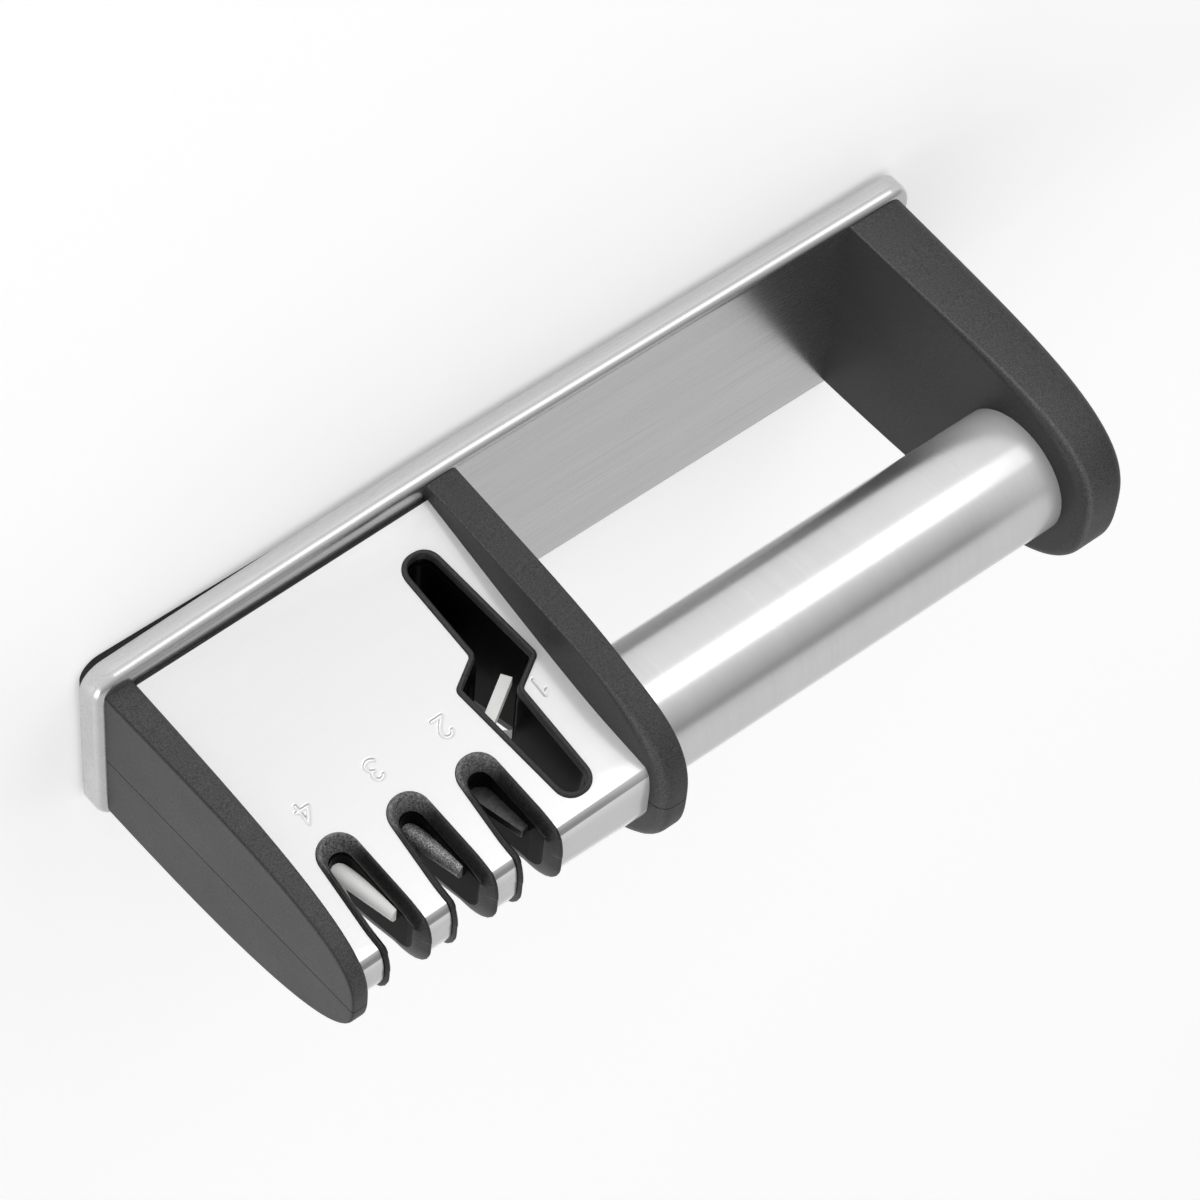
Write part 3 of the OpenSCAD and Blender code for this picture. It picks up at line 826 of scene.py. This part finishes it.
def build_cover():
    right = lambda z: 99.5
    holes = [stadium(x, z, 4.7, g=0.18) for x, z in SLOTS]
    sc = inset(SC_LOOP, -0.18)
    holes += [sc, [(x, 2 * VM - v) for x, v in sc]]
    me = sheet_mesh("cover_sheet", 24.6, right, 0.9, holes, 0.0, True)
    ob = finish_piece("cover_sheet", me, M["cover"], ["steel_cover"], 40)
    brush_uv(me, lambda c: (c.y * 8 + c.z * 8, c.x * 8))
    so = ob.modifiers.new("thickness", "SOLIDIFY")
    so.thickness = 0.8 * MM
    so.offset = -1
    so.use_even_offset = True
    bv = ob.modifiers.new("edge", "BEVEL")
    bv.width = 0.12 * MM
    bv.segments = 2
    bv.limit_method = "ANGLE"
    bv.angle_limit = math.radians(50)
    bv.harden_normals = True
    # black core just under the sheet
    holes = [stadium(x, z, 4.7, g=-0.5) for x, z in SLOTS]
    sc = inset(SC_LOOP, 0.5)
    holes += [sc, [(x, 2 * VM - v) for x, v in sc]]
    me = sheet_mesh("module_core", 24.2, right, 0.02, holes, -0.95, False)
    finish_piece("module_core", me, M["dark"], ["front_shell", "back_shell"], 40)


build_cover()


# ---------------------------------------------------------------- slot lips

def ring_surface(loops, depth_of):
    """Loops in (x, v) with matching points, each with a height over the sheet."""
    rings = []
    for k, loop in enumerate(loops):
        rings.append([sheet(p[0], p[1], depth_of(k, p[1])) for p in loop])
    return rings


def lip_height(d, v):
    """Lips step down slightly behind the parting plane."""
    u = v if v <= VM else 2 * VM - v
    if d > 0:
        if u != v:
            d -= 0.12
    return d


def build_lips():
    for k, (xc, zc) in enumerate(SLOTS):
        outer = stadium(xc, zc, 4.7)
        inner = stadium(xc, zc + 1.1, 2.75, flare=0.055)
        steps = [(0.0, -1.3), (0.0, 0.62), (0.03, 0.86), (0.09, 1.06), (0.17, 1.14), (0.26, 1.1), (0.36, 0.9),
                 (0.5, 0.42), (0.66, -0.3), (0.82, -1.1), (0.93, -1.75), (0.98, -2.15), (1.0, -2.8)]
        loops = [[(a[0] + (b[0] - a[0]) * t, a[1] + (b[1] - a[1]) * t) for a, b in zip(outer, inner)] for t, _ in steps]
        rings = ring_surface(loops, lambda i, v: lip_height(steps[i][1], v))
        # painted light: the dish stays dark along its legs and is painted up to nine times lighter towards the round
        # end of each slot
        lit = [8.0 * (1 - smooth((min(p[1], 2 * VM - p[1]) - zc + 1.5) / 5.0)) for loop in loops for p in loop]
        v, f = loft(rings, True)
        ob = make(f"slot_lip_{k + 2}", v, f, M["dish"], ["front_shell", "back_shell"], 60, closed=False, edge=lit)
        # channel between the front and the back
        n = len(inner)
        ring = rings[-1]
        h = n // 2
        top = len([1 for p in inner if p[0] > xc and True])
        verts = list(ring)
        faces = []
        # the loop is mirrored about v = VM: partner of each point is the one with the mirrored v on the same side
        key = {}
        for i, p in enumerate(inner):
            key[(round(p[0], 4), round(p[1], 4))] = i
        part = [key.get((round(p[0], 4), round(2 * VM - p[1], 4)), None) for p in inner]
        for i in range(n):
            j = (i + 1) % n
            if part[i] is None or part[j] is None:
                continue
            if inner[i][1] > VM or inner[j][1] > VM:
                continue
            faces.append((i, j, part[j], part[i]))
        make(f"slot_channel_{k + 2}", verts, faces, M["gloss"], (), 60, closed=False)


def build_scissors_lip():
    steps = [(0.0, -1.3), (0.0, 0.45), (0.06, 0.66), (0.2, 0.82), (0.42, 0.88), (0.66, 0.84), (0.88, 0.68),
             (1.02, 0.4), (1.08, 0.0), (1.12, -1.6)]
    front = []
    for o, d in steps:
        loop = inset(SC_LOOP, o)
        front.append([sheet(p[0], p[1], d) for p in loop])
    inner = inset(SC_LOOP, 1.12)
    v, f = loft(front, True)
    make("scissors_lip_front", v, f, M["black"], ["front_shell"], 60, closed=False)
    back = []
    for o, d in steps:
        back.append([sheet(p[0], 2 * VM - p[1], d) for p in inset(SC_LOOP, o)])
    v, f = loft(back[::-1], True)
    make("scissors_lip_back", v, f, M["black"], ["back_shell"], 60, closed=False)
    v, f = loft([front[-1], back[-1]], True)
    make("scissors_channel", v, f, M["gloss"], (), 40, closed=False)


build_lips()
build_scissors_lip()


# ---------------------------------------------------------------- carried-over CAD nodes

def dress(node, mat, bevel=0.0):
    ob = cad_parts[node]
    ob.data.materials.clear()
    ob.data.materials.append(mat)
    if bevel:
        w = ob.modifiers.new("weld", "WELD")
        w.merge_threshold = 0.00001
        b = ob.modifiers.new("bevel", "BEVEL")
        b.width = bevel * MM
        b.segments = 2
        b.limit_method = "ANGLE"
        b.angle_limit = math.radians(40)


for n in ("rubber_mat",):
    dress(n, M["rubber"], 0.3)
for n in ("base_frame", "bracket_plug", "module_plug"):
    dress(n, M["dark"])
for n in ("bracket_screws", "module_screws", "plug_screws", "shell_screws"):
    dress(n, M["screw"])
for n in ("scissors_holder", "carbide_holder", "diamond_holder", "ceramic_holder"):
    dress(n, M["gloss"])
for n in ("scissors_rod_front", "scissors_rod_back", "ceramic_rod_front", "ceramic_rod_back"):
    dress(n, M["ceramic"], 0.2)
for n in ("diamond_rod_front", "diamond_rod_back"):
    dress(n, M["diamond"], 0.2)
for n in ("carbide_blade_front", "carbide_blade_back"):
    dress(n, M["carbide"], 0.3)


# ---------------------------------------------------------------- studio

def floor_piece():
    me = bpy.data.meshes.new("floor")
    s = 6.0
    me.from_pydata([(-s, -s, 0), (s, -s, 0), (s, s, 0), (-s, s, 0)], [], [(0, 1, 2, 3)])
    ob = bpy.data.objects.new("floor", me)
    scene.collection.objects.link(ob)
    m, nt, b = new_mat("floor_pale")
    col = ramp(nt, noise(nt, coords(nt, (1, 1, 1)), 2.0, 2.0), [(0.3, 0.90), (0.7, 0.93)])
    nt.links.new(col, b.inputs["Base Color"])
    b.inputs["Roughness"].default_value = 0.9
    b.inputs["Specular IOR Level"].default_value = 0.1
    b.inputs["Emission Color"].default_value = (1, 1, 1, 1)
    b.inputs["Emission Strength"].default_value = 0.32
    me.materials.append(m)
    return ob


floor_piece()


def area(name, loc, target, size, power, size_y=None):
    d = bpy.data.lights.new(name, "AREA")
    d.shape = "RECTANGLE"
    d.size = size
    d.size_y = size_y or size
    d.energy = power
    ob = bpy.data.objects.new(name, d)
    scene.collection.objects.link(ob)
    ob.location = loc
    ob.rotation_euler = (Vector(target) - Vector(loc)).to_track_quat("-Z", "Y").to_euler()
    return ob


area("key", (-0.85, -2.05, 0.5), (0, 0, 0.04), 1.3, 6.7)
area("side", (2.25, -0.1, 0.6), (0, 0, 0.04), 1.1, 11)

# studio surround: a bright band low in front, falling off upwards, a thin dark band overhead, pale behind,
# and a large bright wall on the +X side
world = bpy.data.worlds.new("studio")
scene.world = world
world.use_nodes = True
wn = world.node_tree
bg = wn.nodes["Background"]
geo = wn.nodes.new("ShaderNodeTexCoord")
sep = wn.nodes.new("ShaderNodeSeparateXYZ")
wn.links.new(geo.outputs["Generated"], sep.inputs[0])
neg = add(wn, "ShaderNodeMath", operation="MULTIPLY")
wn.links.new(sep.outputs["Y"], neg.inputs[0])
neg.inputs[1].default_value = -1.0
turn_round = add(wn, "ShaderNodeMath", operation="ARCTAN2")
wn.links.new(sep.outputs["Z"], turn_round.inputs[0])
wn.links.new(neg.outputs[0], turn_round.inputs[1])
# -30 to 200 degrees from the front horizon over the top to the back
part = remap(wn, turn_round.outputs[0], 0.0, 1.0, math.radians(-30), math.radians(180))


def at(deg):
    return (deg + 30) / 210


band = ramp(wn, part, [(at(-30), 0.6), (at(-12), 0.62), (at(2), 0.64), (at(18), 0.62), (at(30), 0.6), (at(45), 0.49),
                       (at(60), 0.38), (at(74), 0.29), (at(84), 0.17), (at(90), 0.22), (at(96), 0.46), (at(120), 0.5),
                       (at(150), 0.48), (at(176), 0.46)])
low = remap(wn, sep.outputs["Z"], 1.0, 0.0, 0.2, 0.5)
sidew = add(wn, "ShaderNodeMath", operation="MULTIPLY")
wn.links.new(remap(wn, sep.outputs["X"], 0.0, 1.0, 0.1, 0.5), sidew.inputs[0])
wn.links.new(low, sidew.inputs[1])
wmix = wn.nodes.new("ShaderNodeMix")
wmix.data_type = "RGBA"
wn.links.new(sidew.outputs[0], wmix.inputs[0])
wn.links.new(band, wmix.inputs[6])
wmix.inputs[7].default_value = (0.6, 0.6, 0.6, 1)
wn.links.new(wmix.outputs[2], bg.inputs[0])
bg.inputs[1].default_value = 1.5
scene.view_settings.view_transform = "Standard"
scene.view_settings.look = "None"
